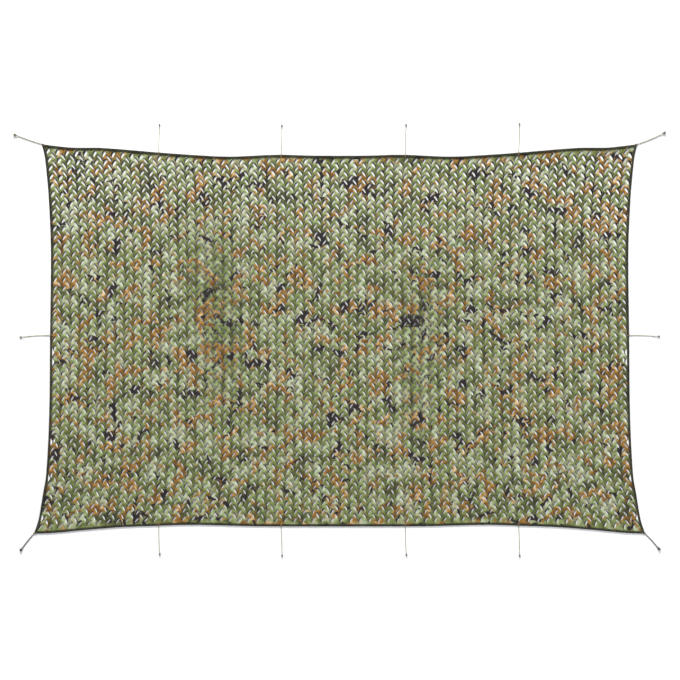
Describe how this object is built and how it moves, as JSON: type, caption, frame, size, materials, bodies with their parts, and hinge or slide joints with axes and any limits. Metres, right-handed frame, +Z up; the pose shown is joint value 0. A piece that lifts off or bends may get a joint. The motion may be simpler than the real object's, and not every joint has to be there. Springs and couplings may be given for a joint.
{
  "type": "camouflage net",
  "caption": "Rectangular printed camouflage net slit into leaves, with bound edges that sag between knotted corner and side ties, spread out flat.",
  "frame": {"origin": "centre of the spread net's outline, on the surface that it lies on", "axes": "+X along the long edges, +Y towards the top edge, +Z up out of the surface; units metres"},
  "size_m": [3.2437, 2.1574, 0.0159],
  "materials": {
    "net_cloth": "woodland-printed coated polyester, slit into curled leaves",
    "edge_binding": "dark printed cloth strip folded over the edge and sewn",
    "tie_cord": "matt olive-grey twisted cord"
  },
  "bodies": {
    "root": {"net_cloth": "net_cloth", "edge_binding_top": "edge_binding", "edge_binding_bottom": "edge_binding", "edge_binding_left": "edge_binding", "edge_binding_right": "edge_binding", "tie_top_1": "tie_cord", "tie_top_2": "tie_cord", "tie_top_3": "tie_cord", "tie_top_4": "tie_cord", "tie_bottom_1": "tie_cord", "tie_bottom_2": "tie_cord", "tie_bottom_3": "tie_cord", "tie_bottom_4": "tie_cord", "tie_left_1": "tie_cord", "tie_right_1": "tie_cord", "tie_top_left": "tie_cord", "tie_top_right": "tie_cord", "tie_bottom_left": "tie_cord", "tie_bottom_right": "tie_cord", "knot_top_1": "tie_cord", "knot_top_2": "tie_cord", "knot_top_3": "tie_cord", "knot_top_4": "tie_cord", "knot_bottom_1": "tie_cord", "knot_bottom_2": "tie_cord", "knot_bottom_3": "tie_cord", "knot_bottom_4": "tie_cord", "knot_left_1": "tie_cord", "knot_right_1": "tie_cord", "knot_top_left": "tie_cord", "knot_top_right": "tie_cord", "knot_bottom_left": "tie_cord", "knot_bottom_right": "tie_cord"}
  },
  "joints": []
}
